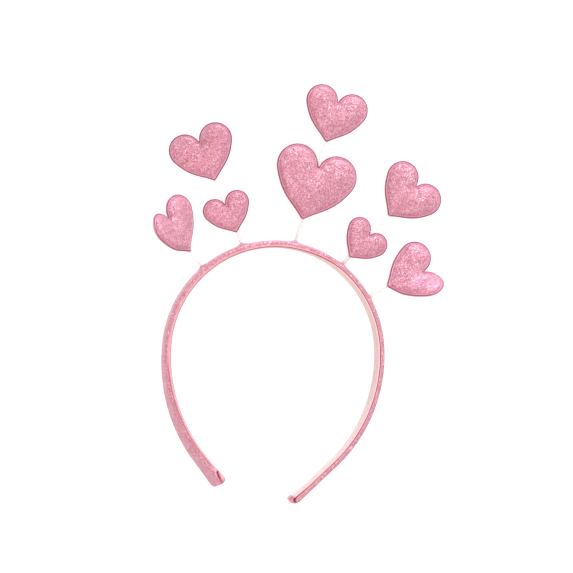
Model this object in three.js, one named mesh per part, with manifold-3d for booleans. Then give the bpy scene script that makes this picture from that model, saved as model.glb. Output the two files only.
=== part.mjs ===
// Heart headband: a fabric-covered head band lying on its edge, with five clear stems that carry
// eight padded hearts. Millimetres, +Z up. The band lies on Z = 0 and its hearts point along +Y.
// The origin is on the band's lower edge, at the middle of the crown.

import * as THREE from 'three';
import { mergeVertices } from 'three/addons/utils/BufferGeometryUtils.js';
import Module from 'manifold-3d';

const wasm = await Module();
wasm.setup();

// Clearance between pieces that touch on the real object.
const GAP = 0.3;

// Band: width is along Z, thickness is cover and lining together.
const BAND_WIDTH = 10.4;
const BAND_THICKNESS = 3.8;
const LINING_THICKNESS = 1;
const LINING_WIDTH = 8.1;
const COVER_CROWN = 0.25;
const OUTER_CORNER = 1;
const TIP_SOFTNESS = 0.8;
const CROWN_RADIUS = 59.6;

// The cover rolls over both edges of the band and down to a lip, and the lining lies between the lips.
const ROLL_START = -0.2;
const ROLL_HEIGHT = 0.8;
const LIP_INNER = -1.45;
const BED_DRAFT = 0.1;

// Each arm leaves the crown arc after crownSweep, bends on armRadius through armSweep and ends straight.
// length runs from the middle of the crown to the tip, endTwist turns the outer face up towards the tip.
const ARMS = {
  left: { crownSweep: 87, armRadius: 88, armSweep: 44, length: 175.8, endTwist: 25, tipCorner: 2.6 },
  right: { crownSweep: 83, armRadius: 80, armSweep: 52, length: 191, endTwist: 3, tipCorner: 4.2 },
};
const TWIST_START = 80;

// The cover folds over each tip and shows on the inner face as a narrow hem past the lining's end.
const FOLD_LENGTH = 1.6;
const FOLD_STEP = 0.4;

// Stems and the sockets and sleeves that take them.
const STEM_RADIUS = 0.9;
const BORE_RADIUS = STEM_RADIUS + GAP;
const SLEEVE_RADIUS = BORE_RADIUS + 0.4;
const SLEEVE_START = 1.8;
const SOCKET_DEPTH = 1.5;
const FOOT_LIFT = 0.2;
const ROUND_SIDES = 10;

// The cover is drawn up into a small tent round each stem.
const TENT_HEIGHT = 1.2;
const TENT_REACH = 4.5;

// Rows of a table as objects with the columns' names.
function table(columns, ...rows) {
  return rows.map((row) => Object.fromEntries(columns.map((column, i) => [column, row[i]])));
}

// crownAngle places the foot on the crown arc, heading is the stem's direction in plan, both clockwise
// from +Y, and lean is its rise off the floor. Angles in degrees.
const STEMS = table(
  ['name', 'crownAngle', 'heading', 'lean'],
  ['stem_left_low', -43.2, -44, 12.5],
  ['stem_left', -19.8, -26.4, 3],
  ['stem_centre', 8, 14.1, 2],
  ['stem_right', 35.3, 40.9, 2],
  ['stem_right_low', 57.4, 54.8, 1],
);

// Hearts: size is the width and tipAt the distance of the tip from the stem's foot. cant turns the heart
// clockwise in its own plane, twist turns it about its axis with the right side rising, and the bends
// curl a lobe up. The last heart on a stem ends it, and the others let it through.
const LARGE = 47;
const MEDIUM = 36;
const SMALL = 26.4;
const HEARTS = table(
  ['name', 'stem', 'size', 'tipAt', 'cant', 'twist', 'leftBend', 'rightBend', 'last'],
  ['heart_left_low', 'stem_left_low', MEDIUM, 11, 5, -33, 17, 11, true],
  ['heart_left_small', 'stem_left', SMALL, 7.4, 0, 10, 0, 0, false],
  ['heart_left_top', 'stem_left', MEDIUM, 38, 0, 18, 0, 0, true],
  ['heart_centre_large', 'stem_centre', LARGE, 13, 0, -4, 0, 0, false],
  ['heart_centre_top', 'stem_centre', MEDIUM, 57.5, 0, -2, 0, 0, true],
  ['heart_right_small', 'stem_right', SMALL, 5.6, -1, -4, 0, 0, false],
  ['heart_right_top', 'stem_right', MEDIUM, 37.3, 0, 1, 0, 0, true],
  ['heart_right_low', 'stem_right_low', MEDIUM, 11.4, 11.4, 8, 0, 44.5, true],
);

// Heart outline as parts of its width: round lobes, then one curve down each side to the tip.
const LOBE_RADIUS = 0.252;
const LOBE_X = 0.248;
const LOBE_Y = 0.6;
const LOBE_END = THREE.MathUtils.degToRad(-26.5);
const SIDE_FULLNESS = 0.51;
const HALF_OUTLINE_STEPS = 14;
const HEART_MIDDLE = 0.45;
const BEND_SPAN = 0.25;

// Heart section: a flat sealed rim, then a crowned pad on both sides. The pad's sizes are parts of its width.
const RIM_WIDTH = 1.5;
const RIM_THICKNESS = 1.2;
const PAD_HEIGHT = 0.07;
const PAD_SHOULDER = 0.045;
const PAD_CROWN = 0.38;
const CROWN_SPAN = 0.26;
const PAD_RINGS = [0.93, 0.8, 0.56, 0.28];
const STEM_REACH = 0.5;

const OUTER = BAND_THICKNESS / 2;
const LINING_OUTER = -OUTER + LINING_THICKNESS;
const COVER_INNER = LINING_OUTER + GAP;
const COVER_STEP = 6.6;

const { degToRad, smoothstep } = THREE.MathUtils;

const glitter = new THREE.MeshStandardMaterial({ color: 0xe29fb2, roughness: 0.55, metalness: 0.1 });
const ribbon = new THREE.MeshStandardMaterial({ color: 0xf0d6d4, roughness: 0.8, metalness: 0 });
const clear = new THREE.MeshStandardMaterial({ color: 0xf3f1f0, roughness: 0.2, metalness: 0 });

// Solids

function toManifold(geometry) {
  const bare = new THREE.BufferGeometry();
  bare.setAttribute('position', geometry.getAttribute('position'));
  bare.setIndex(geometry.getIndex());
  const merged = mergeVertices(bare, 1e-4);
  return new wasm.Manifold(new wasm.Mesh({
    numProp: 3,
    vertProperties: new Float32Array(merged.getAttribute('position').array),
    triVerts: new Uint32Array(merged.getIndex().array),
  }));
}

function toGeometry(manifold) {
  const mesh = manifold.getMesh();
  const geometry = new THREE.BufferGeometry();
  geometry.setAttribute('position', new THREE.BufferAttribute(mesh.vertProperties, 3));
  geometry.setIndex(new THREE.BufferAttribute(mesh.triVerts, 1));
  geometry.computeVertexNormals();
  return geometry;
}

// Closed skin over a row of sections that all have the same number of points.
function loft(sections) {
  const count = sections[0].length;
  const indices = [];
  for (let row = 0; row + 1 < sections.length; row += 1) {
    for (let i = 0; i < count; i += 1) {
      const a = row * count + i;
      const b = row * count + (i + 1) % count;
      indices.push(a, b, a + count, b, b + count, a + count);
    }
  }
  const last = (sections.length - 1) * count;
  for (let i = 1; i + 1 < count; i += 1) {
    indices.push(0, i + 1, i);
    indices.push(last, last + i, last + i + 1);
  }
  const geometry = new THREE.BufferGeometry();
  const points = sections.flat().flatMap((p) => p.toArray());
  geometry.setAttribute('position', new THREE.Float32BufferAttribute(points, 3));
  geometry.setIndex(indices);
  return geometry;
}

// Round rod along +Y from one height to another.
function rod(radius, from, to) {
  const geometry = new THREE.CylinderGeometry(radius, radius, to - from, ROUND_SIDES);
  return geometry.translate(0, (from + to) / 2, 0);
}

// Band centreline

function armOf(s) {
  return s < 0 ? ARMS.left : ARMS.right;
}

// Point, outward direction and upward direction of the band at distance s from the crown, left negative.
function bandFrame(s) {
  const arm = armOf(s);
  const side = s < 0 ? -1 : 1;
  const bends = [
    { radius: CROWN_RADIUS, sweep: degToRad(arm.crownSweep) },
    { radius: arm.armRadius, sweep: degToRad(arm.armSweep) },
  ];
  let rest = Math.abs(s);
  let heading = 0;
  let x = 0;
  let y = 0;
  for (const { radius, sweep } of bends) {
    const turn = Math.min(rest / radius, sweep);
    x += radius * (Math.sin(heading + turn) - Math.sin(heading));
    y += radius * (Math.cos(heading + turn) - Math.cos(heading));
    heading += turn;
    rest -= turn * radius;
  }
  x += rest * Math.cos(heading);
  y -= rest * Math.sin(heading);

  const twist = degToRad(arm.endTwist) * smoothstep(Math.abs(s), TWIST_START, arm.length);
  const outward = new THREE.Vector3(side * Math.sin(heading), Math.cos(heading), 0);
  const up = new THREE.Vector3(0, 0, 1);
  const lift = (BAND_WIDTH / 2) * Math.cos(twist) + OUTER * Math.sin(twist);
  return {
    centre: new THREE.Vector3(side * x, y, lift),
    outward: outward.clone().multiplyScalar(Math.cos(twist)).addScaledVector(up, Math.sin(twist)),
    up: up.clone().multiplyScalar(Math.cos(twist)).addScaledVector(outward, -Math.sin(twist)),
  };
}

// Section points [outward, up] placed at distance s.
function placeSection(s, points) {
  const { centre, outward, up } = bandFrame(s);
  return points.map(([n, b]) => centre.clone().addScaledVector(outward, n).addScaledVector(up, b));
}

function stemFootS(stem) {
  return CROWN_RADIUS * degToRad(stem.crownAngle);
}

// How far the cover is drawn up at a point of its outer face.
function tentRise(s, b) {
  const reach = STEMS.map((stem) => Math.hypot(s - stemFootS(stem), b - FOOT_LIFT));
  const near = Math.max(0, 1 - Math.min(...reach) / TENT_REACH);
  return TENT_HEIGHT * near * near;
}

// Band cover

// How much a round corner takes off at a distance from the end.
function roundCut(radius, distance) {
  const inside = Math.min(distance, radius);
  return radius - Math.sqrt(radius ** 2 - (radius - inside) ** 2);
}

// Half width and depth of the cover near a tip, where its corners are rounded.
function tipSize(s) {
  const arm = armOf(s);
  const fromTip = arm.length - Math.abs(s);
  const soft = roundCut(TIP_SOFTNESS, fromTip);
  return { halfWidth: BAND_WIDTH / 2 - roundCut(arm.tipCorner, fromTip) - soft, soft, fromTip };
}

function cornerArc(n, b, radius, start, steps) {
  return Array.from({ length: steps + 1 }, (_, i) => {
    const angle = start + (i / steps) * (Math.PI / 2);
    return [n + radius * Math.cos(angle), b + radius * Math.sin(angle)];
  });
}

function coverSection(s) {
  const { halfWidth, soft, fromTip } = tipSize(s);
  const folded = fromTip <= FOLD_LENGTH;
  const outer = OUTER - soft;
  const lip = folded ? -OUTER + soft : LIP_INNER;
  const bed = folded ? lip : COVER_INNER;
  const lipHeight = Math.min(BAND_WIDTH / 2 - ROLL_HEIGHT, halfWidth - ROLL_HEIGHT / 4);
  const roll = [
    [ROLL_START, halfWidth],
    [(ROLL_START + lip) / 2, halfWidth - ROLL_HEIGHT / 5],
    [lip, lipHeight],
    [bed, lipHeight - BED_DRAFT],
  ];
  const flat = halfWidth - OUTER_CORNER;
  const face = [-0.7, -0.36, 0, 0.36, 0.7].map((part) => {
    const b = part * halfWidth;
    return [outer + COVER_CROWN * (1 - part ** 2) + tentRise(s, b), b];
  });
  return [
    ...cornerArc(outer - OUTER_CORNER, -flat, OUTER_CORNER, -Math.PI / 2, 2),
    ...face,
    ...cornerArc(outer - OUTER_CORNER, flat, OUTER_CORNER, 0, 2),
    ...roll,
    ...roll.map(([n, b]) => [n, -b]).reverse(),
  ];
}

// Distances of the cover's sections: even along the arms, closer at the stems, the folds and the tips.
function coverStations() {
  const near = [-1, -0.66, -0.4, -0.18, 0, 0.18, 0.4, 0.66, 1].map((part) => part * TENT_REACH);
  const feet = STEMS.map(stemFootS);
  const fine = feet.flatMap((foot) => near.map((step) => foot + step));
  for (const [side, arm] of [[-1, ARMS.left], [1, ARMS.right]]) {
    const fold = [FOLD_LENGTH + FOLD_STEP, FOLD_LENGTH];
    const round = [1, 0.6, 0.3, 0.1, 0].map((part) => part * arm.tipCorner);
    fine.push(...[...fold, ...round].map((back) => side * (arm.length - back)));
  }
  const clear = (s) => fine.every((other) => Math.abs(s - other) > COVER_STEP / 3);
  const even = [];
  for (let s = -ARMS.left.length; s < ARMS.right.length; s += COVER_STEP) even.push(s);
  return [...fine, ...even.filter(clear)].sort((a, b) => a - b);
}

function bandSolid() {
  let solid = toManifold(loft(coverStations().map((s) => placeSection(s, coverSection(s)))));
  for (const stem of STEMS) {
    const bore = rod(BORE_RADIUS, -SOCKET_DEPTH - GAP, 2 * TENT_REACH);
    solid = solid.subtract(toManifold(bore.applyMatrix4(stemMatrix(stem))));
  }
  return toGeometry(solid);
}

// Ribbon lining

function liningSolid() {
  const half = LINING_WIDTH / 2;
  const edge = LINING_THICKNESS / 2;
  const section = [
    [LINING_OUTER, -half], [LINING_OUTER, half],
    [-OUTER + edge, half], [-OUTER, half - edge],
    [-OUTER, -half + edge], [-OUTER + edge, -half],
  ];
  const back = FOLD_LENGTH + FOLD_STEP + GAP;
  const start = -ARMS.left.length + back;
  const run = ARMS.right.length - back - start;
  const steps = Math.round(run / COVER_STEP);
  const stations = Array.from({ length: steps + 1 }, (_, i) => start + (run * i) / steps);
  return loft(stations.map((s) => placeSection(s, section)));
}

// Stems

// Places a stem's own frame, with +Y along the stem, at its foot on the cover's outer face.
function stemMatrix(stem) {
  const { centre, outward, up } = bandFrame(stemFootS(stem));
  const foot = centre.addScaledVector(outward, OUTER).addScaledVector(up, FOOT_LIFT);
  const turn = new THREE.Euler(degToRad(stem.lean), 0, -degToRad(stem.heading), 'ZYX');
  return new THREE.Matrix4().makeRotationFromEuler(turn).setPosition(foot);
}

function stemLength(stem) {
  const top = HEARTS.find((heart) => heart.stem === stem.name && heart.last);
  return top.tipAt + top.size * STEM_REACH;
}

// Hearts

// Right half of the outline from the tip over the lobe to the notch.
function heartHalf(size) {
  const end = new THREE.Vector2(
    LOBE_X + LOBE_RADIUS * Math.cos(LOBE_END),
    LOBE_Y + LOBE_RADIUS * Math.sin(LOBE_END),
  );
  const tangent = new THREE.Vector2(Math.sin(LOBE_END), -Math.cos(LOBE_END));
  const full = end.clone().addScaledVector(tangent, end.length() * SIDE_FULLNESS);
  const notch = Math.acos(-LOBE_X / LOBE_RADIUS);
  const path = new THREE.Path();
  path.moveTo(0, 0);
  path.bezierCurveTo(end.x / 3, end.y / 3, full.x, full.y, end.x, end.y);
  path.absarc(LOBE_X, LOBE_Y, LOBE_RADIUS, LOBE_END, notch, false);
  const points = path.getSpacedPoints(HALF_OUTLINE_STEPS);
  points[HALF_OUTLINE_STEPS].x = 0;
  return points.map((p) => p.multiplyScalar(size));
}

function heartOutline(size) {
  const right = heartHalf(size);
  const left = right.slice(1, -1).reverse().map((p) => new THREE.Vector2(-p.x, p.y));
  return [...right, ...left];
}

// The outline moved inwards by one width all round.
function inset(outline, width) {
  const count = outline.length;
  return outline.map((p, i) => {
    const before = outline[(i + count - 1) % count];
    const after = outline[(i + 1) % count];
    const along = after.clone().sub(before).normalize();
    const corner = i === 0 ? Math.SQRT2 : 1;
    return new THREE.Vector2(p.x - along.y * width * corner, p.y + along.x * width * corner);
  });
}

function distanceToOutline(p, outline) {
  const flat = new THREE.Vector3(p.x, p.y, 0);
  const spot = new THREE.Vector3();
  const edges = outline.map((q, i) => {
    const next = outline[(i + 1) % outline.length];
    const edge = new THREE.Line3(new THREE.Vector3(q.x, q.y, 0), new THREE.Vector3(next.x, next.y, 0));
    return edge.closestPointToPoint(flat, true, spot).distanceTo(flat);
  });
  return Math.min(...edges);
}

// Height of the pad over the middle plane at a distance from the rim.
function padHeight(distance, size) {
  const shoulder = Math.min(distance / (size * PAD_SHOULDER), 1);
  const crown = smoothstep(distance, 0, size * CROWN_SPAN);
  const round = Math.sqrt(1 - (1 - shoulder) ** 2);
  return RIM_THICKNESS / 2 + size * PAD_HEIGHT * round * (1 - PAD_CROWN + PAD_CROWN * crown);
}

// Curls a heart's lobes up round its own axis.
function curl(point, bends, size) {
  const side = point.x < 0 ? -1 : 1;
  const bend = side < 0 ? bends.left : bends.right;
  if (bend === 0) return point;
  const out = Math.abs(point.x);
  const span = size * BEND_SPAN;
  const turn = bend * Math.min(out / span, 1);
  const over = Math.max(out - span, 0);
  const radius = span / bend;
  return new THREE.Vector3(
    side * (radius * Math.sin(turn) + over * Math.cos(bend) - point.z * Math.sin(turn)),
    point.y,
    radius * (1 - Math.cos(turn)) + over * Math.sin(bend) + point.z * Math.cos(turn),
  );
}

// Rings of the upper half: rim edge, rim foot, then the pad up to its middle.
function heartRings(size) {
  const outline = heartOutline(size);
  const foot = inset(outline, RIM_WIDTH);
  const middle = new THREE.Vector2(0, size * HEART_MIDDLE);
  const rings = [outline, foot].map((ring) => ring.map((p) => [p, RIM_THICKNESS / 2]));
  for (const part of PAD_RINGS) {
    const ring = foot.map((p) => middle.clone().lerp(p, part));
    rings.push(ring.map((p) => [p, padHeight(distanceToOutline(p, foot), size)]));
  }
  const top = [middle, padHeight(distanceToOutline(middle, foot), size)];
  return { rings, top };
}

function heartShell(size, bends) {
  const { rings, top } = heartRings(size);
  const count = rings[0].length;
  const points = [];
  const indices = [];
  for (const side of [1, -1]) {
    const base = points.length;
    const add = ([p, z]) => points.push(curl(new THREE.Vector3(p.x, p.y, side * z), bends, size));
    rings.flat().forEach(add);
    add(top);
    const tri = (a, b, c) => (side > 0 ? indices.push(a, b, c) : indices.push(a, c, b));
    const peak = base + rings.length * count;
    for (let i = 0; i < count; i += 1) {
      const next = (i + 1) % count;
      for (let row = 0; row + 1 < rings.length; row += 1) {
        const a = base + row * count;
        tri(a + i, a + next, a + count + i);
        tri(a + next, a + count + next, a + count + i);
      }
      tri(peak - count + i, peak - count + next, peak);
    }
  }
  const back = points.length / 2;
  for (let i = 0; i < count; i += 1) {
    const next = (i + 1) % count;
    indices.push(i, back + i, back + next, i, back + next, next);
  }
  const geometry = new THREE.BufferGeometry();
  const flat = points.flatMap((p) => p.toArray());
  geometry.setAttribute('position', new THREE.Float32BufferAttribute(flat, 3));
  geometry.setIndex(indices);
  return geometry;
}

// A heart with its tip at the origin, turned on its stem along +Y, sleeved and bored for the stem.
function heartSolid({ size, cant, twist, leftBend, rightBend, last }) {
  const notch = heartHalf(size)[HALF_OUTLINE_STEPS].y;
  const sleeveEnd = last ? size * STEM_REACH : notch - RIM_WIDTH / 2;
  const boreEnd = last ? size * STEM_REACH + GAP : size;
  const sleeve = toManifold(rod(SLEEVE_RADIUS, SLEEVE_START, sleeveEnd));
  const bore = toManifold(rod(BORE_RADIUS, -RIM_WIDTH, boreEnd));
  const bends = { left: degToRad(leftBend), right: degToRad(rightBend) };
  const shell = heartShell(size, bends).rotateY(-degToRad(twist)).rotateZ(-degToRad(cant));
  return toGeometry(toManifold(shell).add(sleeve).subtract(bore));
}

// Assembly

function named(name, geometry, material) {
  const mesh = new THREE.Mesh(geometry, material);
  mesh.name = name;
  return mesh;
}

function stemGroup(stem) {
  const group = new THREE.Group();
  group.applyMatrix4(stemMatrix(stem));
  group.add(named(stem.name, rod(STEM_RADIUS, -SOCKET_DEPTH, stemLength(stem)), clear));
  for (const heart of HEARTS.filter((row) => row.stem === stem.name)) {
    const mesh = named(heart.name, heartSolid(heart), glitter);
    mesh.position.y = heart.tipAt;
    group.add(mesh);
  }
  return group;
}

const headband = new THREE.Group();
headband.add(named('band', bandSolid(), glitter));
headband.add(named('lining', liningSolid(), ribbon));
STEMS.forEach((stem) => headband.add(stemGroup(stem)));

export default headband;
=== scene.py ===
# Looks of the heart headband: padded glitter hearts on clear stems over a covered and lined head band.
import math

import bpy
import numpy as np
from mathutils import Matrix, Vector


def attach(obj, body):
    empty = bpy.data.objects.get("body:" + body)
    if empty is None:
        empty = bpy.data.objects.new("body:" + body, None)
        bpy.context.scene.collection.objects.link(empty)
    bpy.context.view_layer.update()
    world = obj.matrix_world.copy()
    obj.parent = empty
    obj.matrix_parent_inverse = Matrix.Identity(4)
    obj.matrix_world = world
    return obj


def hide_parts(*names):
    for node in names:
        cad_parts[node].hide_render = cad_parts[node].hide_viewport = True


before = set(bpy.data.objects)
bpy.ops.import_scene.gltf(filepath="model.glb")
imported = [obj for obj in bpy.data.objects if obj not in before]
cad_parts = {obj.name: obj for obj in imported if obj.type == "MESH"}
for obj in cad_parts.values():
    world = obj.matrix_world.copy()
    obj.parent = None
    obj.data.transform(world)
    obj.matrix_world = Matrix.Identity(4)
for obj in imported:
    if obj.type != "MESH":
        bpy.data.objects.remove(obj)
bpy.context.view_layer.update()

BODY = "root"

# Sizes in millimetres, as in the part. Meshes are made in metres.
MM = 0.001
BAND_WIDTH = 10.4
BAND_THICKNESS = 3.8
LINING_THICKNESS = 1.0
LINING_WIDTH = 8.1
LINING_EDGE = 0.35
LINING_CLEARANCE = 0.04
COVER_CROWN = 0.25
OUTER_CORNER = 1.3
TIP_EDGE = 0.4
CROWN_RADIUS = 59.6
TWIST_START = 80.0
GAP = 0.3
OUTER = BAND_THICKNESS / 2
LINING_OUTER = -OUTER + LINING_THICKNESS
COVER_INNER = LINING_OUTER + GAP
LINING_BACK = COVER_INNER - LINING_CLEARANCE

# Pressing of a fabric and the light and shade painted on it: 0 is none, the first level shows as a painted
# highlight and the second as a dark seam with painted shade.
PAINTED_HIGHLIGHT = 0.5
SEAM_AND_SHADE = 1.0

# The cover rolls over the band's edges to a lip. Right of the crown the lip is short and the lining flush.
ROLL_START = -0.2
ROLL_HEIGHT = 0.8
ROLL_LEAST = 0.2
LIP_INNER = -1.45
LIP_SHORT = -1.0
LIP_CORNER_OUT = 0.02
LIP_CORNER_UP = 0.04
BED_DRAFT = 0.1
FLUSH_START = 8.0
FLUSH_END = 40.0
FLUSH_RISE = 0.75
# Where along the roll the painted highlight starts and is full, and where the painted shade towards the lip
# starts and is full.
LIP_PAINT = (0.0, 0.3, 0.65, 0.85)
LIP_PAINT_FLUSH = (0.0, 0.15, 0.3, 0.5)

# Where the band is twisted, a crease runs along the cover's edges, darkened with painted shade.
CREASE_OUT = 0.2
CREASE_WIDTH = 0.5
CREASE_DEPTH = 0.25
CREASE_SHADE = 0.88
CREASE_RUN = 30.0

# The cover is folded over both tips, where a slit opens between its outer side and the pleated fold. The slit
# and the pleats' creases are darkened with painted shade.
FOLD_STEP = 0.6
SLIT_WIDTH = 0.95
SLIT_DEPTH = 1.5
PLEAT_PITCH = 1.5
PLEAT_DEPTH = 0.16
PLEAT_SHADE = 0.9
GAPE_START = 13.5
GAPE_END = 1.5
LIP_GAPE = 1.7

# How finely the band is divided: points round its section and stations along it.
CORNER_STEPS = 6
OUTER_ROWS = 23
EDGE_STEPS = 26
FOLD_ROWS = 9
STATION_STEP = 0.9
STATION_GAP = 0.015
FOOT_STEP = 0.3
TIP_BACKS = (0.0, 0.02, 0.07)
TIP_STEP = 0.15
TIP_SPAN = 10.0
LINING_CORNER_STEPS = 3
LINING_ROWS = 7
LINING_STATIONS = 420

# Stems, and the cover drawn up like a tent round their feet.
STEM_RADIUS = 0.9
STEM_BEVEL = 0.3
STEM_SIDES = 32
SOCKET_DEPTH = 1.5
STEM_REACH = 0.5
FOOT_LIFT = 0.2
FOOT_MARK = 0.5
TENT_HEIGHT = 1.35
TENT_REACH = 4.5
TENT_POWER = 1.5
TENT_CREASES = 7
TENT_CREASE_DEPTH = 0.22

# Heart outline, one wide, with a round lobe on each side and a full curve to the tip, and the hearts' widths.
LOBE_RADIUS = 0.252
LOBE_X = 0.248
LOBE_Y = 0.6
LOBE_END = math.radians(-26.5)
SIDE_FULLNESS = 0.51
HEART_MIDDLE = 0.45
BEND_SPAN = 0.25
LARGE = 47.0
MEDIUM = 36.0
SMALL = 26.4

# Heart section: a thin sealed rim, a pressed groove, then a crowned pad, drawn over the stem at the tip.
RIM_WIDTH = 1.5
RIM_THICKNESS = 1.2
FLANGE_HALF = 0.58
GROOVE_HALF = 0.32
PAD_HEIGHT = 0.07
PAD_SHOULDER = 0.045
PAD_CROWN = 0.38
CROWN_SPAN = 0.26
STEM_COVER = 0.25
NOTCH_SOFTNESS = 0.4
TIP_SOFTNESS = 1.1
TIP_REACH = 0.2
# The first ring of the shoulder is pressed a little, which also gives it a faint painted highlight.
SHOULDER_PRESS = 0.1
LUMP_HEIGHT = 0.05
LUMP_WAVES = 7
LUMP_LENGTHS = (0.25, 0.6)
PUCKERS = 23
PUCKER_DEPTH = 0.05
PUCKER_PHASE = 6.0

# How finely a heart is divided.
CURVE_STEPS = 400
OUTLINE_STEPS = 84
OUTLINE_DETAIL = 6
SOFT_REACH = 40
INSET_SLACK = 0.02
SHOULDER_RINGS = 10
DOME_RINGS = 13

# Swelling of the pads, simulated ten times as large.
SWELL_SCALE = 0.01
SWELL_FRAMES = 20
SWELL_QUALITY = 4
SWELL_PRESSURE = 4.0
SWELL_LIMIT = 0.2
TINY = 1e-6


def table(columns, *rows):
    """Rows of a table as dictionaries with the columns' names."""
    return [dict(zip(columns, row)) for row in rows]


# A tip is rounded by its corners in side view and by depths and runs in plan. fold is how far its cover is
# folded back, pleat how strongly the fold is pleated, gape how far the lining stands off near it, and crease
# how strong the crease along its edges is.
ARMS = table(
    ("crown_sweep", "arm_radius", "arm_sweep", "length", "end_twist", "lower_corner", "upper_corner",
     "outer_depth", "outer_run", "inner_depth", "inner_run", "fold", "pleat", "gape", "crease"),
    (87, 88, 44, 175.8, 25, 2.6, 1.2, 1.2, 1.4, 2.2, 4.0, 2.0, 0.2, 0.5, 1.0),
    (83, 80, 52, 191, 3, 4.2, 3.6, 3.2, 4.4, 0.8, 2.4, 3.0, 1.0, 0.7, 0.0),
)
# Slit on the band's upper edge, as the distance from the tip and the place outwards.
LEFT_SLIT = table(("back", "out"), (6.9, -0.6), (5.4, 0.1), (3.8, 0.6), (2.8, 0.9), (1.9, 1.1), (1.2, 1.1))
RIGHT_SLIT = table(
    ("back", "out"),
    (8.5, -1.2), (7.3, -1.35), (5.8, -1.45), (4.2, -1.5), (2.9, -1.15), (2.1, -0.6), (2.0, 0.1))
# A stem's foot lies at an angle round the crown. The stem heads sideways and leans up, in degrees.
STEMS = table(
    ("name", "crown_angle", "heading", "lean"),
    ("stem_left_low", -43.2, -44, 12.5),
    ("stem_left", -19.8, -26.4, 3),
    ("stem_centre", 8, 14.1, 2),
    ("stem_right", 35.3, 40.9, 2),
    ("stem_right_low", 57.4, 54.8, 1),
)
# A heart's tip is at a distance along its stem. Its cant, twist and the bends of its lobes are in degrees.
HEARTS = table(
    ("name", "stem", "size", "tip_at", "cant", "twist", "left_bend", "right_bend"),
    ("heart_left_low", "stem_left_low", MEDIUM, 11, 5, -33, 17, 11),
    ("heart_left_small", "stem_left", SMALL, 7.4, 0, 10, 0, 0),
    ("heart_left_top", "stem_left", MEDIUM, 38, 0, 18, 0, 0),
    ("heart_centre_large", "stem_centre", LARGE, 13, 0, -4, 0, 0),
    ("heart_centre_top", "stem_centre", MEDIUM, 57.5, 0, -2, 0, 0),
    ("heart_right_small", "stem_right", SMALL, 5.6, -1, -4, 0, 0),
    ("heart_right_top", "stem_right", MEDIUM, 37.3, 0, 1, 0, 0),
    ("heart_right_low", "stem_right_low", MEDIUM, 11.4, 11.4, 8, 0, 44.5),
)
# Rows of a heart's rim from its edge inwards, with half the thickness there and the pressing, which paints
# the sealed seam's dark line with shade near the edge and a highlight on the flange.
RIM_ROWS = table(
    ("inset", "height", "press_and_painted_light"),
    (0.0, 0.0, 0.6),
    (0.07, 0.2, 0.65),
    (0.25, 0.33, 0.8),
    (0.45, 0.44, 1.0),
    (0.66, 0.53, 0.95),
    (0.86, 0.57, 0.45),
    (1.05, FLANGE_HALF, 0.3),
    (1.3, 0.48, 0.3),
    (RIM_WIDTH, GROOVE_HALF, 0.45),
)

# Glitter: flakes and patches to the metre, how bright flakes, which are painted glints, gather in patches,
# and how far flakes lean.
FLAKE_SCALE = 2500
FLAKE_LEAN = 0.42
FLAKE_MIDDLE = (0.5, 0.5, 0.5)
PATCH_SCALE = 240
PATCH_DETAIL = 3
PATCH_WEIGHT = 0.5
GLINT_LIMIT = 1.18
PAINTED_GLINT = (0.86, 0.58, 0.66)
# In these tables the third colour is a painted highlight and the fourth a dark seam line with painted shade.
COVER_COLOURS = {
    "deep": (0.42, 0.165, 0.21),
    "light": (0.70, 0.36, 0.41),
    "painted_light": (0.88, 0.44, 0.48),
    "seam_and_shade": (0.26, 0.035, 0.08),
}
HEART_COLOURS = {
    "deep": (0.385, 0.145, 0.195),
    "light": (0.79, 0.385, 0.47),
    "painted_light": (0.77, 0.37, 0.46),
    "seam_and_shade": (0.16, 0.025, 0.06),
}

# Ribbon and rods. The weave's depth is in metres.
WEAVE_SCALE = 2600
WEAVE_DEPTH = 0.0001
RIBBON_DEEP = (0.60, 0.42, 0.40)
RIBBON_LIGHT = (0.74, 0.55, 0.52)
# A painted highlight for the ribbon's upper edge and painted shade for its back edge.
RIBBON_EDGE_HIGHLIGHT = (0.88, 0.58, 0.60)
RIBBON_BACK_SHADE = (0.34, 0.07, 0.12)
CLOUD_SCALE = 300
ROD_MILKY = (0.92, 0.91, 0.88)
ROD_CLEAR = (0.98, 0.97, 0.95)

# The camera looks down on the band, a little from its left. The photograph's frame is square.
PHOTO_SIDE = 573
AIM = (6.28, -22.7, 0.0)
CAMERA_DISTANCE = 1370.0
CAMERA_TILT = 12.6
CAMERA_ROLL = 2.92
MM_PER_PIXEL = 0.55
SENSOR = 36.0
CLIP_START = 10.0

# Studio: the floor, soft lights in metres and watts, and walls with a bright side.
FLOOR_HALF = 3000.0
FLOOR_DROP = -0.2
LIGHTS = table(
    ("name", "spot", "size", "power", "colour"),
    ("key", (0.55, 1.05, 1.0), 0.7, 9, (1.0, 0.96, 1.0)),
    ("rim", (0.25, 1.5, 0.42), 0.5, 13, (0.86, 0.80, 1.0)),
    ("fill", (-0.6, -0.9, 1.4), 1.6, 16, (1.0, 0.75, 0.74)),
)
BRIGHT_SIDE = (0.62, 0.48, 0.62)
DIM_LEVEL = 0.33
BRIGHT_LEVEL = 0.9


# Meshes


def mesh_object(name, points, faces, material, press_and_painted_light=None):
    """A smooth mesh piece from points in millimetres; the last argument marks where its fabric is pressed and
    where highlights and shade are painted on it.
    """
    mesh = bpy.data.meshes.new(name)
    mesh.from_pydata([tuple(p) for p in np.asarray(points) * MM], [], faces)
    if press_and_painted_light is not None:
        mesh.attributes.new("press_and_painted_light", "FLOAT", "POINT").data.foreach_set("value", press_and_painted_light)
    mesh.shade_smooth()
    mesh.materials.append(material)
    obj = bpy.data.objects.new(name, mesh)
    bpy.context.collection.objects.link(obj)
    return obj


def dress(obj, node):
    """Puts a piece on the part's body, in the place of its solid."""
    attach(obj, BODY)
    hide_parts(node)


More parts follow.
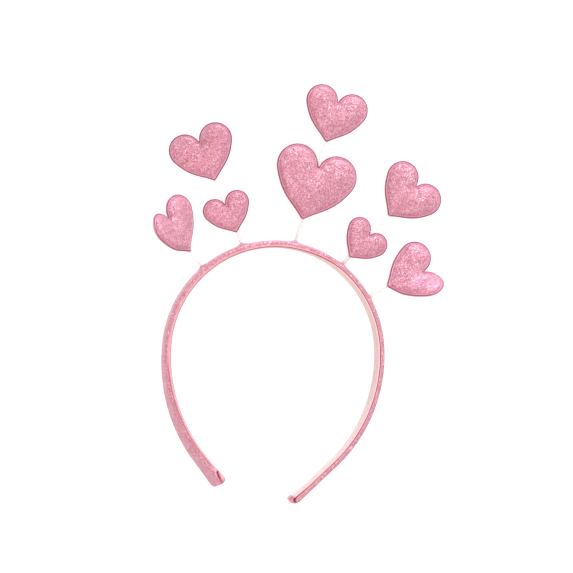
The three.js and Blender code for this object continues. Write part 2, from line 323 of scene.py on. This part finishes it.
def tube_faces(rows, count):
    """Quads between closed rows of points, with a cap at each end."""
    faces = []
    for row in range(rows - 1):
        for i in range(count):
            a = row * count + i
            b = row * count + (i + 1) % count
            faces.append((a, b, b + count, a + count))
    last = (rows - 1) * count
    faces.append(tuple(reversed(range(count))))
    faces.append(tuple(range(last, last + count)))
    return faces


def smooth_step(value, low, high):
    """0 up to low, 1 from high on, and a smooth rise between them."""
    part = np.clip((value - low) / (high - low), 0.0, 1.0)
    return part * part * (3 - 2 * part)


def line_mark(distance, width):
    """1 on a line and to a third of the width beside it, falling to 0 at the width."""
    return 1 - smooth_step(distance, width / 3, width)


def place(points, matrix):
    """The points moved by a matrix."""
    turn = np.array(matrix.to_3x3())
    return points @ turn.T + np.array(matrix.translation)


# Band


def arm_of(s):
    """The arm that holds a station, which is negative on the left."""
    return ARMS[0] if s < 0 else ARMS[1]


def band_frame(s):
    """Centre, outward and upward directions of the band at distance s from the crown, left negative."""
    arm = arm_of(s)
    side = -1.0 if s < 0 else 1.0
    rest, heading, x, y = abs(s), 0.0, 0.0, 0.0
    for radius, sweep in ((CROWN_RADIUS, arm["crown_sweep"]), (arm["arm_radius"], arm["arm_sweep"])):
        turn = min(rest / radius, math.radians(sweep))
        x += radius * (math.sin(heading + turn) - math.sin(heading))
        y += radius * (math.cos(heading + turn) - math.cos(heading))
        heading += turn
        rest -= turn * radius
    x += rest * math.cos(heading)
    y -= rest * math.sin(heading)
    twist = math.radians(arm["end_twist"]) * smooth_step(abs(s), TWIST_START, arm["length"])
    flat = np.array((side * math.sin(heading), math.cos(heading), 0.0))
    rise = np.array((0.0, 0.0, 1.0))
    lift = BAND_WIDTH / 2 * math.cos(twist) + OUTER * math.sin(twist)
    centre = np.array((side * x, y, lift))
    outward = flat * math.cos(twist) + rise * math.sin(twist)
    up = rise * math.cos(twist) - flat * math.sin(twist)
    return centre, outward, up


def swept(name, stations, section, material):
    """A closed piece with a section at each station, whose rows are outward, up and pressing, the pressing
    also giving painted highlights and shade.
    """
    rows, press_and_painted_light = [], []
    for s in stations:
        centre, outward, up = band_frame(s)
        flat = np.asarray(section(s))
        rows.append(centre + flat[:, :1] * outward + flat[:, 1:2] * up)
        press_and_painted_light.append(flat[:, 2])
    faces = tube_faces(len(rows), len(rows[0]))
    return mesh_object(name, np.concatenate(rows), faces, material, np.concatenate(press_and_painted_light))


def foot_s(stem):
    """Station of a stem's foot."""
    return CROWN_RADIUS * math.radians(stem["crown_angle"])


def tent_rise(s, b):
    """How far the cover is drawn up near a stem's foot, with creases that run out from it."""
    rise = 0.0
    for stem in STEMS:
        along, across = s - foot_s(stem), b - FOOT_LIFT
        near = max(0.0, 1 - math.hypot(along, across) / TENT_REACH)
        crease = math.cos(TENT_CREASES * math.atan2(across, along)) * TENT_CREASE_DEPTH
        rise = max(rise, (TENT_HEIGHT + crease * (1 - near)) * near ** TENT_POWER)
    return rise


def foot_mark(s, b):
    """Darkening of the cover round the stems' feet, towards the seam's colour."""
    near = min(math.hypot(s - foot_s(stem), b - FOOT_LIFT) for stem in STEMS)
    return 1 - smooth_step(near, STEM_RADIUS, STEM_RADIUS + FOOT_MARK)


def round_cut(depth, run, distance):
    """How much a rounded corner takes off at a distance from the end."""
    rest = 1 - min(max(distance / run, 0.0), 1.0)
    return depth * (1 - math.sqrt(1 - rest ** 2))


def from_tip(s):
    """Distance of a station from the tip of its arm."""
    return arm_of(s)["length"] - abs(s)


def near_tip(s):
    """1 at a tip, falling to 0 where the band has its full section."""
    return 1 - smooth_step(from_tip(s), GAPE_END, GAPE_START)


def folded(s):
    """1 where the cover is folded back over a tip, 0 past the fold."""
    fold = arm_of(s)["fold"]
    return 1 - smooth_step(from_tip(s), fold, fold + FOLD_STEP)


def gape(s):
    """How far the lining and its bed stand inwards near a tip."""
    return arm_of(s)["gape"] * near_tip(s)


def flushness(s):
    """0 where the lining is tucked under the cover's lip, 1 where it lies flush with it."""
    return smooth_step(s, FLUSH_START, FLUSH_END)


def slit_distance(slit, back, out):
    """Distance of points on the upper edge from the slit."""
    spots = np.stack([np.full_like(out, back), out], 1)
    route = np.array([(row["back"], row["out"]) for row in slit])
    near = np.full(len(out), np.inf)
    for start, end in zip(route[:-1], route[1:]):
        run = end - start
        part = np.clip((spots - start) @ run / (run @ run), 0, 1)
        near = np.minimum(near, np.linalg.norm(spots - start - part[:, None] * run, axis=1))
    return near


def corner_arc(n, b, radius, start, steps):
    """Quarter circle of section points, from a start angle in degrees."""
    angles = [math.radians(start + 90 * i / steps) for i in range(steps + 1)]
    return [(n + radius * math.cos(a), b + radius * math.sin(a), 0.0) for a in angles]


def outer_side(s, outer, low, top, corner):
    """Outer half of the cover's section, from its lower edge up to its upper edge."""
    heights = np.linspace(corner - low, top - corner, OUTER_ROWS + 2)[1:-1]
    rises = [COVER_CROWN * (1 - (2 * b / BAND_WIDTH) ** 2) + tent_rise(s, b) for b in heights]
    face = [(outer + rise, b, foot_mark(s, b)) for rise, b in zip(rises, heights)]
    lower_arc = corner_arc(outer - corner, corner - low, corner, -90, CORNER_STEPS)
    return lower_arc + face + corner_arc(outer - corner, top - corner, corner, 0, CORNER_STEPS)


def pleat_wave(s, out):
    """Pleats of a tip's fold, which run slanting from the slit: 1 on a ridge, -1 in a crease."""
    return arm_of(s)["pleat"] * np.cos(2 * math.pi * (from_tip(s) + out) / PLEAT_PITCH)


def pleat_shade(wave):
    """Painted shade in the pleats, which is strongest in their creases."""
    return PLEAT_SHADE * (1 - wave) / 2


def crease_mark(s, out):
    """How much points on an edge lie in its crease: 1 in the middle, 0 beside it."""
    twisted = smooth_step(abs(s), TWIST_START, TWIST_START + CREASE_RUN)
    strength = arm_of(s)["crease"] * twisted * (1 - near_tip(s))
    return strength * line_mark(np.abs(out - CREASE_OUT), CREASE_WIDTH)


def lip_paint(s, part):
    """Painted highlight along the roll, then painted shade towards the lip, both coming sooner where the
    lining lies flush.
    """
    paint_steps = np.array(LIP_PAINT) + flushness(s) * (np.array(LIP_PAINT_FLUSH) - LIP_PAINT)
    return np.interp(part, paint_steps, (0.0, PAINTED_HIGHLIGHT, PAINTED_HIGHLIGHT, SEAM_AND_SHADE))


def rolled_edge(s, start, lip, bed, half):
    """Edge of the cover, rolled down to its lip and cut by the slit, then back to the lining's bed, with
    painted highlight and shade on it.
    """
    out = np.linspace(start, lip, EDGE_STEPS + 1)[1:]
    roll_start = min(ROLL_START, start)
    part = np.clip((roll_start - out) / (roll_start - lip), 0, 1)
    lip_height = min(BAND_WIDTH / 2 - ROLL_HEIGHT, half - ROLL_LEAST)
    height = half - (half - lip_height) * (1 - np.sqrt(1 - part ** 2))
    slit = LEFT_SLIT if s < 0 else RIGHT_SLIT
    opening = line_mark(slit_distance(slit, from_tip(s), out), SLIT_WIDTH)
    crease = crease_mark(s, out)
    pleated = part * (1 - smooth_step(from_tip(s), arm_of(s)["fold"], slit[0]["back"]))
    wave = pleat_wave(s, out)
    painted_light = lip_paint(s, part) * (1 - folded(s))
    shade = pleated * folded(s) * pleat_shade(wave)
    # Painted highlight along the roll, and painted shade towards the lip, in the slit, in the crease and in
    # the pleats' creases.
    press_and_painted_light = np.max([painted_light, opening, CREASE_SHADE * crease, shade], axis=0)
    relief = PLEAT_DEPTH * wave * pleated - SLIT_DEPTH * opening - CREASE_DEPTH * crease
    edge = np.stack([out, height + relief, press_and_painted_light], 1)
    low = edge[-1, 1] - BED_DRAFT
    # Behind the lip the cover takes the dark seam colour as painted shade.
    inside = max(press_and_painted_light[-1], 1 - folded(s))
    behind = [(lip + LIP_CORNER_OUT, low + LIP_CORNER_UP, inside), (bed, low, inside)]
    return [tuple(row) for row in edge] + behind


def inner_face(s, bed, low, top):
    """Inner face of the cover: the pleated fold at a tip, with painted shade in its creases, and the lining's
    bed elsewhere.
    """
    wave = float(pleat_wave(s, bed))
    inner = bed - PLEAT_DEPTH * wave * folded(s)
    heights = np.linspace(top, low, FOLD_ROWS + 2)[1:-1]
    return [(inner, b, pleat_shade(wave) * folded(s)) for b in heights]


def cover_section(s):
    """Section of the cover: its outer side, upper edge, inner face and lower edge."""
    arm = arm_of(s)
    back = from_tip(s)
    low = BAND_WIDTH / 2 - round_cut(arm["lower_corner"], arm["lower_corner"], back)
    top = BAND_WIDTH / 2 - round_cut(arm["upper_corner"], arm["upper_corner"], back)
    outer = OUTER - round_cut(arm["outer_depth"], arm["outer_run"], back)
    inner = -OUTER - gape(s) + round_cut(arm["inner_depth"], arm["inner_run"], back)
    lip = LIP_INNER + flushness(s) * (LIP_SHORT - LIP_INNER) - LIP_GAPE * gape(s)
    lip += folded(s) * (inner - lip)
    bed = COVER_INNER - gape(s) + folded(s) * (inner - COVER_INNER)
    sharp = OUTER_CORNER + near_tip(s) * (TIP_EDGE - OUTER_CORNER)
    corner = min(sharp, (outer - lip) / 2)
    upper = rolled_edge(s, outer - corner, lip, bed, top)
    lower = [(n, -b, p) for n, b, p in reversed(rolled_edge(s, outer - corner, lip, bed, low))]
    face = inner_face(s, bed, lower[0][1], upper[-1][1])
    return outer_side(s, outer, low, top, corner) + upper + face + lower


def fine_stations(start, end):
    """Stations along the band, closer at the stems and the tips."""
    even = np.arange(start, end, STATION_STEP)
    feet = [foot_s(stem) + np.arange(-TENT_REACH, TENT_REACH, FOOT_STEP) for stem in STEMS]
    backs = np.concatenate([TIP_BACKS, np.arange(TIP_STEP, TIP_SPAN, TIP_STEP)])
    every = np.sort(np.concatenate([even, *feet, start + backs, end - backs]))
    apart = np.concatenate([[True], np.diff(every) > STATION_GAP])
    return every[apart]


def make_cover(material):
    stations = fine_stations(-ARMS[0]["length"], ARMS[1]["length"])
    dress(swept("cover", stations, cover_section, material), "band")


def lining_section(s):
    """Section of the lining, with painted shade on its back edge and a painted highlight on its upper edge.
    """
    edge = LINING_EDGE
    steps = LINING_CORNER_STEPS
    half = LINING_WIDTH / 2 + FLUSH_RISE * flushness(s)
    top = half - edge
    face = -OUTER - gape(s)
    inner = face + edge
    outer = LINING_BACK - gape(s) - edge
    return (
        [(n, b, SEAM_AND_SHADE) for n, b, _ in corner_arc(outer, top, edge, 0, steps)[:-1]]
        + [(n, half, PAINTED_HIGHLIGHT) for n in (outer, inner)]
        + corner_arc(inner, top, edge, 90, steps)[1:]
        + [(face, b, 0.0) for b in np.linspace(top, -top, LINING_ROWS + 2)[1:-1]]
        + corner_arc(inner, -top, edge, 180, steps)
        + corner_arc(outer, -top, edge, 270, steps)
    )


def make_lining(material):
    left, right = ARMS
    start = left["fold"] - left["length"]
    end = right["length"] - right["fold"]
    stations = np.linspace(start, end, LINING_STATIONS)
    dress(swept("ribbon_lining", stations, lining_section, material), "lining")


# Stems


def stem_matrix(stem):
    """The stem's own frame, with +Y along the stem, at its foot on the cover."""
    centre, outward, up = band_frame(foot_s(stem))
    foot = centre + OUTER * outward + FOOT_LIFT * up
    turn = Matrix.Rotation(-math.radians(stem["heading"]), 4, "Z")
    lean = Matrix.Rotation(math.radians(stem["lean"]), 4, "X")
    return Matrix.Translation(Vector(foot)) @ turn @ lean


def stem_top(stem):
    """Length of a stem from its foot to its end inside its last heart."""
    return max(row["tip_at"] + row["size"] * STEM_REACH for row in HEARTS if row["stem"] == stem)


def make_stem(stem, material):
    top = stem_top(stem["name"])
    narrow = STEM_RADIUS - STEM_BEVEL
    profile = [(-SOCKET_DEPTH, narrow), (-SOCKET_DEPTH + STEM_BEVEL, STEM_RADIUS)]
    profile += [(top - STEM_BEVEL, STEM_RADIUS), (top, narrow)]
    angles = np.linspace(0, 2 * math.pi, STEM_SIDES, endpoint=False)
    circle = np.stack([-np.cos(angles), np.zeros(STEM_SIDES), np.sin(angles)], 1)
    rows = [radius * circle + (0, y, 0) for y, radius in profile]
    points = place(np.concatenate(rows), stem_matrix(stem))
    name = stem["name"].replace("stem", "rod")
    obj = mesh_object(name, points, tube_faces(len(rows), STEM_SIDES), material)
    dress(obj, stem["name"])


# Hearts


def even_points(path, steps):
    """The path again, with its points spaced evenly."""
    run = np.concatenate([[0], np.cumsum(np.linalg.norm(np.diff(path, axis=0), axis=1))])
    even = np.linspace(0, run[-1], steps + 1)
    return np.stack([np.interp(even, run, path[:, i]) for i in (0, 1)], 1)


def heart_half(steps):
    """Right half of the outline, one wide, from the tip over the lobe to the notch."""
    end = np.array((LOBE_X + LOBE_RADIUS * math.cos(LOBE_END), LOBE_Y + LOBE_RADIUS * math.sin(LOBE_END)))
    tangent = np.array((math.sin(LOBE_END), -math.cos(LOBE_END)))
    full = end + tangent * np.linalg.norm(end) * SIDE_FULLNESS
    t = np.linspace(0, 1, CURVE_STEPS)[:, None]
    side = 3 * (1 - t) ** 2 * t * end / 3 + 3 * (1 - t) * t ** 2 * full + t ** 3 * end
    angles = np.linspace(LOBE_END, math.acos(-LOBE_X / LOBE_RADIUS), CURVE_STEPS)[1:]
    lobe = np.stack([LOBE_X + LOBE_RADIUS * np.cos(angles), LOBE_Y + LOBE_RADIUS * np.sin(angles)], 1)
    return even_points(np.concatenate([side, lobe]), steps)


def mirrored(right):
    """Closed ring from its right half, which starts and ends on the axis."""
    return np.concatenate([right, right[1:-1][::-1] * (-1, 1)])


def softened(ring, softness):
    """The closed ring with its corners rounded."""
    pitch = np.linalg.norm(np.diff(ring, axis=0), axis=1).mean()
    reach = np.arange(-SOFT_REACH, SOFT_REACH + 1)
    weights = np.exp(-0.5 * (reach * pitch / softness) ** 2)
    weights /= weights.sum()
    return sum(w * np.roll(ring, -k, axis=0) for w, k in zip(weights, reach))


def soft_outline(size, steps):
    """Closed outline with the tip and, less so, the notch rounded, as sealed fabric is."""
    ring = mirrored(heart_half(steps)) * size
    far = smooth_step(ring[:, 1:], 0.0, size * TIP_REACH)
    return far * softened(ring, NOTCH_SOFTNESS) + (1 - far) * softened(ring, TIP_SOFTNESS)


def inset_ring(outline, distance):
    """The outline moved inwards by one distance all round, with evenly spaced points."""
    along = np.roll(outline, -1, axis=0) - np.roll(outline, 1, axis=0)
    along /= np.linalg.norm(along, axis=1)[:, None]
    moved = outline + np.stack([-along[:, 1], along[:, 0]], 1) * distance
    half = moved[: len(outline) // 2 + 1]
    gap = np.linalg.norm(half[:, None] - outline[None], axis=2).min(axis=1)
    kept = half[(gap > distance - INSET_SLACK) & (half[:, 0] > 0)]
    tip, notch = (0.0, kept[0, 1]), (0.0, kept[-1, 1])
    return mirrored(even_points(np.concatenate([[tip], kept, [notch]]), OUTLINE_STEPS))


def pad_rings(size):
    """Rings of the upper skin from the rim towards the middle, as x and y, and the outline they follow."""
    outline = soft_outline(size, OUTLINE_DETAIL * OUTLINE_STEPS)
    angles = np.linspace(0, math.pi / 2, SHOULDER_RINGS + 1)[1:]
    insets = [row["inset"] for row in RIM_ROWS]
    insets += list(RIM_WIDTH + size * PAD_SHOULDER * (1 - np.cos(angles)))
    rings = [inset_ring(outline, inset) for inset in insets]
    middle = np.array((0.0, size * HEART_MIDDLE))
    rings += [middle + part * (rings[-1] - middle) for part in np.linspace(1, 0, DOME_RINGS + 1)[1:-1]]
    return np.array(rings), outline


def pad_height(flat, outline, size):
    """Height of the pad over its middle plane, from the distance to the rim."""
    gap = np.linalg.norm(flat[:, None] - outline[None], axis=2).min(axis=1) - RIM_WIDTH
    shoulder = np.clip(gap / (size * PAD_SHOULDER), 0, 1)
    crown = smooth_step(gap, 0, size * CROWN_SPAN)
    rise = RIM_THICKNESS / 2 - GROOVE_HALF + size * PAD_HEIGHT * (1 - PAD_CROWN + PAD_CROWN * crown)
    return GROOVE_HALF + rise * np.sqrt(1 - (1 - shoulder) ** 2)


def over_stem(skin, heart):
    """Lifts the skin over the stem where the pad is thinner than the stem."""
    aside = skin[:, 0] + skin[:, 1] * math.tan(math.radians(heart["cant"]))
    radius = STEM_RADIUS + STEM_COVER
    lifted = np.sqrt(np.maximum(radius ** 2 - aside ** 2, 0))
    reached = skin[:, 1] < stem_top(heart["stem"]) - heart["tip_at"]
    return np.where(reached, np.maximum(skin[:, 2], lifted), skin[:, 2])


def fabric_lumps(points, size, rng):
    """Small uneven rises of a stuffed fabric, in millimetres."""
    lumps = np.zeros(len(points))
    for _ in range(LUMP_WAVES):
        turn, phase = rng.uniform(0, 2 * math.pi, 2)
        length = rng.uniform(*LUMP_LENGTHS) * size
        along = points[:, 0] * math.cos(turn) + points[:, 1] * math.sin(turn)
        lumps += np.sin(2 * math.pi * along / length + phase) / LUMP_WAVES
    return 2 * LUMP_HEIGHT * lumps


def pad_skin(heart, rng):
    """Points of the upper skin, ring by ring and then its peak, their pressing, which also paints highlight
    and shade, and a ring's count.
    """
    size = heart["size"]
    rings, outline = pad_rings(size)
    rows, count = rings.shape[:2]
    flat = np.vstack([rings.reshape(-1, 2), (0.0, size * HEART_MIDDLE)])
    height = pad_height(flat, outline, size)
    rim = len(RIM_ROWS) * count
    height[:rim] = np.repeat([row["height"] for row in RIM_ROWS], count)
    press_and_painted_light = np.zeros(len(flat))
    press_and_painted_light[:rim] = np.repeat([row["press_and_painted_light"] for row in RIM_ROWS], count)
    press_and_painted_light[rim:rim + count] = SHOULDER_PRESS
    lift = smooth_step(height, RIM_THICKNESS, 2 * RIM_THICKNESS)
    around = np.append(np.tile(np.arange(count), rows), 0)
    phase = rng.uniform(0, PUCKER_PHASE)
    pucker = np.cos(around * 2 * math.pi * PUCKERS / count + phase) * PUCKER_DEPTH
    near_rim = smooth_step(height, FLANGE_HALF, RIM_THICKNESS) * (1 - lift)
    height += lift * fabric_lumps(flat, size, rng) + near_rim * pucker
    skin = np.column_stack([flat, height])
    skin[count:, 2] = over_stem(skin[count:], heart)
    return skin, press_and_painted_light, count


def pad_mesh(heart, rng):
    """Points, faces and pressing, which also paints highlight and shade, of a heart in its own frame, both
    skins sewn at the rim.
    """
    front, press_and_painted_light, count = pad_skin(heart, rng)
    back = pad_skin(heart, rng)[0] * (1, 1, -1)
    points = np.concatenate([front, back[count:]])
    shift = len(front) - count
    peak = len(front) - 1
    faces = []
    for row in range(0, peak, count):
        low = 0 if row == 0 else shift
        for i in range(count):
            a, b = row + i, row + (i + 1) % count
            top = (peak,) if row + count == peak else (b + count, a + count)
            faces.append((a, b, *top))
            faces.append((low + b, low + a, *(shift + v for v in reversed(top))))
    return points, faces, np.concatenate([press_and_painted_light, press_and_painted_light[count:]])


def pressed_cloth(points, faces, press_and_painted_light):
    """A pad as cloth under air pressure, held where it is pressed."""
    mesh = bpy.data.meshes.new("swell")
    mesh.from_pydata([tuple(p) for p in points * SWELL_SCALE], [], faces)
    obj = bpy.data.objects.new("swell", mesh)
    bpy.context.collection.objects.link(obj)
    pins = obj.vertex_groups.new(name="rim")
    for i in np.flatnonzero(press_and_painted_light > 0):
        pins.add([int(i)], 1.0, "REPLACE")
    cloth = obj.modifiers.new("cloth", "CLOTH")
    cloth.point_cache.frame_start = 1
    cloth.point_cache.frame_end = SWELL_FRAMES
    settings = cloth.settings
    settings.quality = SWELL_QUALITY
    settings.vertex_group_mass = "rim"
    settings.use_pressure = True
    settings.uniform_pressure_force = SWELL_PRESSURE
    settings.effector_weights.gravity = 0.0
    return obj


def swell(points, faces, press_and_painted_light):
    """Lets air pressure settle the fabric of a pad, and limits how far its points move."""
    obj = pressed_cloth(points, faces, press_and_painted_light)
    scene = bpy.context.scene
    for number in range(1, SWELL_FRAMES + 1):
        scene.frame_set(number)
    solved = obj.evaluated_get(bpy.context.evaluated_depsgraph_get()).data
    flat = np.empty(len(points) * 3)
    solved.vertices.foreach_get("co", flat)
    scene.frame_set(1)
    bpy.data.objects.remove(obj)
    moved = flat.reshape(-1, 3) / SWELL_SCALE - points
    reach = np.linalg.norm(moved, axis=1)
    return points + moved * np.minimum(1, SWELL_LIMIT / np.maximum(reach, TINY))[:, None]


def curl(points, heart):
    """Curls a heart's lobes up round its own axis."""
    out = points.copy()
    for side, bend in ((-1, heart["left_bend"]), (1, heart["right_bend"])):
        if not bend:
            continue
        bend = math.radians(bend)
        span = heart["size"] * BEND_SPAN
        pick = points[:, 0] * side > 0
        x, y, z = np.abs(points[pick, 0]), points[pick, 1], points[pick, 2]
        turn = bend * np.minimum(x / span, 1)
        over = np.maximum(x - span, 0)
        radius = span / bend
        new_x = radius * np.sin(turn) + over * math.cos(bend) - z * np.sin(turn)
        new_z = radius * (1 - np.cos(turn)) + over * math.sin(bend) + z * np.cos(turn)
        out[pick] = np.stack([side * new_x, y, new_z], 1)
    return out


def heart_matrix(heart):
    """The heart's own frame on its stem, with +Y from its tip to its notch."""
    stem = next(row for row in STEMS if row["name"] == heart["stem"])
    tip = Matrix.Translation((0, heart["tip_at"], 0))
    cant = Matrix.Rotation(-math.radians(heart["cant"]), 4, "Z")
    twist = Matrix.Rotation(-math.radians(heart["twist"]), 4, "Y")
    return stem_matrix(stem) @ tip @ cant @ twist


def make_heart(heart, seed, material):
    points, faces, press_and_painted_light = pad_mesh(heart, np.random.default_rng(seed))
    points = swell(points, faces, press_and_painted_light)
    points = place(curl(points, heart), heart_matrix(heart))
    obj = mesh_object(heart["name"].replace("heart", "pad"), points, faces, material, press_and_painted_light)
    dress(obj, heart["name"])


# Materials


class Nodes:
    """Short ways to add and link the nodes of one material."""

    def __init__(self, name):
        self.material = bpy.data.materials.new(name)
        self.material.use_nodes = True
        self.tree = self.material.node_tree
        self.shader = self.tree.nodes["Principled BSDF"]

    def add(self, kind, **settings):
        node = self.tree.nodes.new("ShaderNode" + kind)
        for key, value in settings.items():
            setattr(node, key, value)
        return node

    def link(self, source, target):
        self.tree.links.new(source, target)

    def set_shader(self, values):
        for key, value in values.items():
            self.shader.inputs[key].default_value = value

    def math(self, operation, first, second):
        node = self.add("Math", operation=operation)
        for socket, value in zip(node.inputs, (first, second)):
            if isinstance(value, float):
                socket.default_value = value
            else:
                self.link(value, socket)
        return node.outputs[0]

    def vector(self, operation, *sources):
        node = self.add("VectorMath", operation=operation)
        for socket, source in zip(node.inputs, sources):
            self.link(source, socket)
        return node

    def mix(self, factor, first, second):
        node = self.add("Mix", data_type="RGBA")
        self.link(factor, node.inputs["Factor"])
        for key, value in (("A", first), ("B", second)):
            socket = next(s for s in node.inputs if s.name == key and s.type == "RGBA")
            if isinstance(value, tuple):
                socket.default_value = (*value, 1)
            else:
                self.link(value, socket)
        return next(s for s in node.outputs if s.type == "RGBA")

    def texture(self, kind, scale):
        node = self.add("Tex" + kind)
        node.inputs["Scale"].default_value = scale
        self.link(self.add("TexCoord").outputs["Object"], node.inputs["Vector"])
        return node


def seam_and_painted_light_tone(n, tone, painted_light, seam_and_shade):
    """The tone turned to the painted highlight colour where fabric is marked at the first level, and to the
    dark seam colour with painted shade at the second.
    """
    press_and_painted_light = n.add("Attribute", attribute_name="press_and_painted_light").outputs["Fac"]
    mark = n.math("MULTIPLY", press_and_painted_light, 1 / PAINTED_HIGHLIGHT)
    tone = n.mix(mark, tone, painted_light)
    return n.mix(n.math("SUBTRACT", mark, 1.0), tone, seam_and_shade)


def flake_tone(n, flakes, deep, light):
    """Colours of the flakes, with clusters of bright ones that are painted glints."""
    split = n.add("SeparateColor")
    n.link(flakes.outputs["Color"], split.inputs["Color"])
    tone = n.mix(split.outputs["Red"], deep, light)
    patches = n.texture("Noise", PATCH_SCALE)
    patches.inputs["Detail"].default_value = PATCH_DETAIL
    patch = n.math("MULTIPLY", patches.outputs["Fac"], PATCH_WEIGHT)
    limit = n.math("SUBTRACT", GLINT_LIMIT, patch)
    glint = n.math("GREATER_THAN", split.outputs["Green"], limit)
    return n.mix(glint, tone, PAINTED_GLINT)


def flake_normal(n, flakes):
    """Surface direction of flakes that each lean their own way."""
    centred = n.vector("SUBTRACT", flakes.outputs["Color"])
    centred.inputs[1].default_value = FLAKE_MIDDLE
    lean = n.vector("SCALE", centred.outputs["Vector"])
    lean.inputs["Scale"].default_value = FLAKE_LEAN
    total = n.vector("ADD", n.add("NewGeometry").outputs["Normal"], lean.outputs["Vector"])
    return n.vector("NORMALIZE", total.outputs["Vector"]).outputs["Vector"]


def glitter_material(name, deep, light, painted_light, seam_and_shade):
    """Fine glitter on fabric: flakes that differ in colour and lean."""
    n = Nodes(name)
    flakes = n.texture("Voronoi", FLAKE_SCALE)
    tone = seam_and_painted_light_tone(n, flake_tone(n, flakes, deep, light), painted_light, seam_and_shade)
    n.link(tone, n.shader.inputs["Base Color"])
    n.link(flake_normal(n, flakes), n.shader.inputs["Normal"])
    n.set_shader({
        "Roughness": 0.4,
        "Metallic": 0.3,
        "Specular IOR Level": 0.18,
        "Specular Tint": (1.0, 0.85, 1.0, 1),
        "Sheen Weight": 0.18,
        "Sheen Tint": (1.0, 0.88, 1.0, 1),
    })
    return n.material


def ribbon_material():
    """Dusky pink woven ribbon with a painted highlight on its upper edge and painted shade on its back edge.
    """
    n = Nodes("pale_ribbon")
    weave = n.texture("Noise", WEAVE_SCALE)
    tone = n.mix(weave.outputs["Fac"], RIBBON_DEEP, RIBBON_LIGHT)
    n.link(seam_and_painted_light_tone(n, tone, RIBBON_EDGE_HIGHLIGHT, RIBBON_BACK_SHADE), n.shader.inputs["Base Color"])
    bump = n.add("Bump")
    bump.inputs["Distance"].default_value = WEAVE_DEPTH
    n.link(weave.outputs["Fac"], bump.inputs["Height"])
    n.link(bump.outputs["Normal"], n.shader.inputs["Normal"])
    n.set_shader({"Roughness": 0.6, "Sheen Weight": 0.3})
    return n.material


def stem_material():
    """Clear rod with a slight milkiness."""
    n = Nodes("clear_rod")
    cloud = n.texture("Noise", CLOUD_SCALE)
    n.link(n.mix(cloud.outputs["Fac"], ROD_MILKY, ROD_CLEAR), n.shader.inputs["Base Color"])
    n.set_shader({"Roughness": 0.12, "Transmission Weight": 0.56, "IOR": 1.25})
    return n.material


def floor_material():
    """Pale matt floor that glows a little, so that it stays white."""
    n = Nodes("pale_floor")
    n.set_shader({
        "Base Color": (0.6, 0.6, 0.6, 1),
        "Roughness": 0.9,
        "Specular IOR Level": 0.0,
        "Emission Color": (1, 1, 1, 1),
        "Emission Strength": 0.6,
    })
    return n.material


# Stage


def make_floor():
    sides = ((-1, -1), (1, -1), (1, 1), (-1, 1))
    corners = [(x * FLOOR_HALF, y * FLOOR_HALF, FLOOR_DROP) for x, y in sides]
    mesh_object("floor", corners, [(0, 1, 2, 3)], floor_material())


def make_camera():
    roll = math.radians(CAMERA_ROLL)
    tilt = math.radians(CAMERA_TILT)
    across = Vector((math.cos(roll), math.sin(roll), 0))
    top = Vector((-math.sin(roll), math.cos(roll), 0))
    rise = Vector((0, 0, 1))
    right = across * math.cos(tilt) + rise * math.sin(tilt)
    back = rise * math.cos(tilt) - across * math.sin(tilt)
    camera = bpy.data.cameras.new("camera")
    camera.sensor_width = SENSOR
    camera.lens = SENSOR * CAMERA_DISTANCE / MM_PER_PIXEL / PHOTO_SIDE
    camera.clip_start = CLIP_START * MM
    obj = bpy.data.objects.new("camera", camera)
    axes = Matrix((right, top, back)).transposed().to_4x4()
    spot = (Vector(AIM) + back * CAMERA_DISTANCE) * MM
    obj.matrix_world = Matrix.Translation(spot) @ axes
    bpy.context.collection.objects.link(obj)
    bpy.context.scene.camera = obj


def area_light(name, spot, size, power, colour):
    """A square soft light that looks at the object."""
    light = bpy.data.lights.new(name, "AREA")
    light.size = size
    light.energy = power
    light.color = colour
    obj = bpy.data.objects.new(name, light)
    obj.location = spot
    obj.rotation_euler = (-Vector(spot)).to_track_quat("-Z", "Y").to_euler()
    bpy.context.collection.objects.link(obj)


def make_world():
    """Studio walls that are bright above and to the right, and dim to the left."""
    world = bpy.data.worlds.new("studio")
    world.use_nodes = True
    tree = world.node_tree
    sky = tree.nodes["Background"]
    sky.inputs["Color"].default_value = (1, 1, 1, 1)
    side = tree.nodes.new("ShaderNodeVectorMath")
    side.operation = "DOT_PRODUCT"
    side.inputs[1].default_value = BRIGHT_SIDE
    tree.links.new(tree.nodes.new("ShaderNodeTexCoord").outputs["Generated"], side.inputs[0])
    level = tree.nodes.new("ShaderNodeMapRange")
    level.inputs["From Min"].default_value = -1.0
    level.inputs["To Min"].default_value = DIM_LEVEL
    level.inputs["To Max"].default_value = BRIGHT_LEVEL
    tree.links.new(side.outputs["Value"], level.inputs["Value"])
    tree.links.new(level.outputs["Result"], sky.inputs["Strength"])
    bpy.context.scene.world = world


def make_lights():
    for row in LIGHTS:
        area_light(**row)
    make_world()
    bpy.context.scene.view_settings.view_transform = "Standard"


make_camera()
make_lights()
make_floor()
make_cover(glitter_material("glitter_cover", **COVER_COLOURS))
make_lining(ribbon_material())
rod_finish = stem_material()
for stem in STEMS:
    make_stem(stem, rod_finish)
heart_finish = glitter_material("glitter_heart", **HEART_COLOURS)
for seed, heart in enumerate(HEARTS):
    make_heart(heart, seed, heart_finish)
